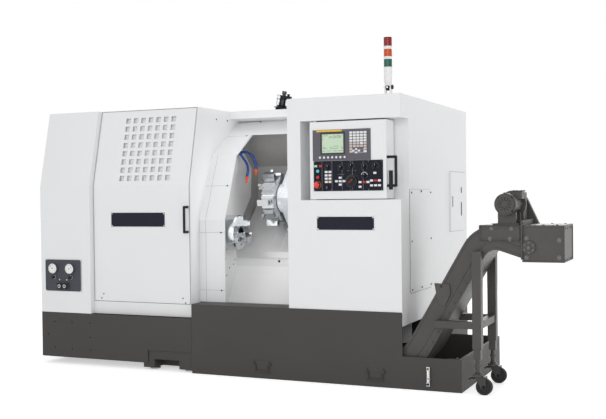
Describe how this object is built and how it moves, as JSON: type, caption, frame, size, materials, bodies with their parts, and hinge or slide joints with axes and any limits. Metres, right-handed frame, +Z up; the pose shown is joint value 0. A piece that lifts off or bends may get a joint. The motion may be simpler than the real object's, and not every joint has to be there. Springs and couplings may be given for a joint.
{
  "type": "cnc turning lathe",
  "caption": "CNC turning lathe in a sheet-metal enclosure with slant bed, jaw chuck, tool turret, swinging operator pod, sliding door and chip conveyor.",
  "frame": {"origin": "centre of the footprint of the whole machine with its conveyor, on the floor", "axes": "+X along the spindle towards the conveyor, +Y from the operator to the back, +Z up"},
  "size_m": [3.808, 1.7, 2.254],
  "materials": {
    "cover_white": "semi-gloss light grey-white powder coat",
    "base_dark": "semi-gloss dark warm grey paint",
    "cast_grey": "grey machine enamel on castings",
    "bright_steel": "ground and turned steel",
    "cover_steel": "brushed stainless sheet",
    "chamber_dark": "dull dark grey sheet",
    "chuck_chrome": "hard chromed and ground",
    "black_plastic": "fine matt black",
    "grey_plastic": "matt mid grey",
    "panel_navy": "matt blue-black",
    "signal_red": "glossy red",
    "tower_lens": "glossy coloured lens rings",
    "hose_blue": "satin blue",
    "window_glass": "clear safety glass",
    "feet_zinc": "zinc plated",
    "gauge_metal": "satin light grey",
    "black_rod": "black oxide",
    "wheel_rubber": "matt black rubber"
  },
  "bodies": {
    "machine": {"bed_casting": "cast_grey", "levelling_feet": "feet_zinc", "base_skirt": "base_dark", "coolant_tank": "base_dark", "left_end_cover": "cover_white", "gauge_panel": "gauge_metal", "headstock_cabinet": "cover_white", "door_post": "cover_white", "middle_roof": "cover_white", "right_cover": "cover_white", "side_access_cover": "cover_white", "rear_cabinet": "cover_white", "chamber_wall": "cover_white", "chamber_back": "chamber_dark", "way_cover_fixed": "cover_steel", "headstock_casting": "cast_grey", "spindle_motor": "cast_grey", "air_service_unit": "black_plastic", "conveyor_casing": "base_dark", "conveyor_gearmotor": "base_dark", "chain_guard": "base_dark", "support_frame": "base_dark", "coolant_hoses": "hose_blue"},
    "headstock_door": {"headstock_door": "cover_white", "headstock_door_handle": "black_rod"},
    "spindle": {"spindle": "bright_steel", "chuck_body": "chuck_chrome"},
    "jaw_1": {"chuck_jaw_1": "chuck_chrome"},
    "jaw_2": {"chuck_jaw_2": "chuck_chrome"},
    "jaw_3": {"chuck_jaw_3": "chuck_chrome"},
    "way_cover": {"way_cover_slide": "cover_steel"},
    "carriage": {"carriage": "cast_grey"},
    "cross_slide": {"cross_slide": "cast_grey"},
    "turret": {"turret_disc": "bright_steel", "tool_holders": "bright_steel"},
    "sliding_door": {"sliding_door": "cover_white", "door_window": "window_glass"},
    "operator_pod": {"operator_pod": "cover_white", "display_unit": "grey_plastic", "machine_panel": "panel_navy", "pod_handle": "black_rod"},
    "emergency_stop": {"emergency_stop": "signal_red"},
    "handwheel": {"handwheel": "black_plastic"},
    "knob_1": {"rotary_knob_1": "black_plastic"},
    "knob_2": {"rotary_knob_2": "black_plastic"},
    "knob_3": {"rotary_knob_3": "black_plastic"},
    "knob_4": {"rotary_knob_4": "black_plastic"},
    "knob_5": {"rotary_knob_5": "black_plastic"},
    "knob_6": {"rotary_knob_6": "black_plastic"},
    "signal_tower": {"signal_tower": "tower_lens"},
    "caster_1": {"caster_fork_1": "black_rod"},
    "caster_2": {"caster_fork_2": "black_rod"},
    "wheel_1": {"caster_wheel_1": "wheel_rubber"},
    "wheel_2": {"caster_wheel_2": "wheel_rubber"},
    "drop_handle_1": {"drop_handle_1": "black_rod"},
    "drop_handle_2": {"drop_handle_2": "black_rod"},
    "side_door": {"side_door": "cover_white"},
    "rear_door": {"rear_door": "cover_white"},
    "main_switch": {"main_switch": "signal_red"},
    "conveyor_shaft": {"conveyor_shaft": "bright_steel"}
  },
  "joints": [
    {"name": "headstock_door_hinge", "type": "hinge", "parent": "machine", "child": "headstock_door", "pos_m": [-1.443, -0.769, 0.9], "axis": [0, 0, 1], "range_deg": [-90, 0]},
    {"name": "spindle_turn", "type": "hinge", "parent": "machine", "child": "spindle", "pos_m": [-0.587, -0.491, 0.965], "axis": [1, 0, 0], "continuous": true},
    {"name": "jaw_1_slide", "type": "slide", "parent": "spindle", "child": "jaw_1", "axis": [0, 0, 1], "range_m": [-0.004, 0.004]},
    {"name": "jaw_2_slide", "type": "slide", "parent": "spindle", "child": "jaw_2", "axis": [0, -0.866, -0.5], "range_m": [-0.004, 0.004]},
    {"name": "jaw_3_slide", "type": "slide", "parent": "spindle", "child": "jaw_3", "axis": [0, 0.866, -0.5], "range_m": [-0.004, 0.004]},
    {"name": "carriage_slide", "type": "slide", "parent": "machine", "child": "carriage", "axis": [1, 0, 0], "range_m": [-0.02, 0.42]},
    {"name": "way_cover_slide", "type": "slide", "parent": "machine", "child": "way_cover", "axis": [1, 0, 0], "range_m": [-0.01, 0.21]},
    {"name": "cross_slide", "type": "slide", "parent": "carriage", "child": "cross_slide", "axis": [0, 0.7071, 0.7071], "range_m": [-0.16, 0.06]},
    {"name": "turret_index", "type": "hinge", "parent": "cross_slide", "child": "turret", "pos_m": [-0.237, -0.25129, 1.20471], "axis": [1, 0, 0], "continuous": true},
    {"name": "sliding_door_slide", "type": "slide", "parent": "machine", "child": "sliding_door", "axis": [1, 0, 0], "range_m": [-0.574, 0]},
    {"name": "operator_pod_swing", "type": "hinge", "parent": "machine", "child": "operator_pod", "pos_m": [0.321, -0.791, 1.45], "axis": [0, 0, 1], "range_deg": [-90, 0]},
    {"name": "emergency_stop_press", "type": "slide", "parent": "operator_pod", "child": "emergency_stop", "axis": [0, 1, 0], "range_m": [0, 0.004]},
    {"name": "handwheel_turn", "type": "hinge", "parent": "operator_pod", "child": "handwheel", "pos_m": [0.585, -0.821, 1.312], "axis": [0, 1, 0], "continuous": true},
    {"name": "rotary_knob_1_turn", "type": "hinge", "parent": "operator_pod", "child": "knob_1", "pos_m": [0.419, -0.821, 1.405], "axis": [0, 1, 0], "range_deg": [-90, 90]},
    {"name": "rotary_knob_2_turn", "type": "hinge", "parent": "operator_pod", "child": "knob_2", "pos_m": [0.508, -0.821, 1.399], "axis": [0, 1, 0], "range_deg": [-135, 135]},
    {"name": "rotary_knob_3_turn", "type": "hinge", "parent": "operator_pod", "child": "knob_3", "pos_m": [0.58, -0.821, 1.41], "axis": [0, 1, 0], "range_deg": [-135, 135]},
    {"name": "rotary_knob_4_turn", "type": "hinge", "parent": "operator_pod", "child": "knob_4", "pos_m": [0.669, -0.821, 1.403], "axis": [0, 1, 0], "range_deg": [-135, 135]},
    {"name": "rotary_knob_5_turn", "type": "hinge", "parent": "operator_pod", "child": "knob_5", "pos_m": [0.669, -0.821, 1.347], "axis": [0, 1, 0], "range_deg": [-60, 60]},
    {"name": "rotary_knob_6_turn", "type": "hinge", "parent": "operator_pod", "child": "knob_6", "pos_m": [0.744, -0.821, 1.407], "axis": [0, 1, 0], "range_deg": [-135, 135]},
    {"name": "signal_tower_fold", "type": "hinge", "parent": "machine", "child": "signal_tower", "pos_m": [0.754, -0.581, 1.927], "axis": [-1, 0, 0], "range_deg": [0, 90]},
    {"name": "caster_1_swivel", "type": "hinge", "parent": "machine", "child": "caster_1", "pos_m": [1.393, -0.8225, 0.125], "axis": [0, 0, 1], "continuous": true},
    {"name": "wheel_1_roll", "type": "hinge", "parent": "caster_1", "child": "wheel_1", "pos_m": [1.431, -0.8225, 0.05], "axis": [0, 1, 0], "continuous": true},
    {"name": "caster_2_swivel", "type": "hinge", "parent": "machine", "child": "caster_2", "pos_m": [1.393, -0.4195, 0.125], "axis": [0, 0, 1], "continuous": true},
    {"name": "wheel_2_roll", "type": "hinge", "parent": "caster_2", "child": "wheel_2", "pos_m": [1.431, -0.4195, 0.05], "axis": [0, 1, 0], "continuous": true},
    {"name": "drop_handle_1_swing", "type": "hinge", "parent": "machine", "child": "drop_handle_1", "pos_m": [-0.071, -0.833, 0.098], "axis": [1, 0, 0], "range_deg": [-100, 0]},
    {"name": "drop_handle_2_swing", "type": "hinge", "parent": "machine", "child": "drop_handle_2", "pos_m": [0.732, -0.833, 0.098], "axis": [1, 0, 0], "range_deg": [-100, 0]},
    {"name": "side_door_hinge", "type": "hinge", "parent": "machine", "child": "side_door", "pos_m": [0.92, 0.721, 1.166], "axis": [0, 0, 1], "range_deg": [0, 110]},
    {"name": "rear_door_hinge", "type": "hinge", "parent": "machine", "child": "rear_door", "pos_m": [-0.598, 0.827, 1.11], "axis": [0, 0, 1], "range_deg": [0, 110]},
    {"name": "main_switch_turn", "type": "hinge", "parent": "rear_door", "child": "main_switch", "pos_m": [0.153, 0.82, 1.5], "axis": [0, 1, 0], "range_deg": [0, 90]},
    {"name": "conveyor_shaft_turn", "type": "hinge", "parent": "machine", "child": "conveyor_shaft", "pos_m": [1.70005, -0.621, 0.8976], "axis": [0, 1, 0], "continuous": true}
  ],
  "couplings": [
    {"joint": "jaw_2_slide", "follows": "jaw_1_slide", "ratio": 1},
    {"joint": "jaw_3_slide", "follows": "jaw_1_slide", "ratio": 1},
    {"joint": "way_cover_slide", "follows": "carriage_slide", "ratio": 0.5}
  ]
}
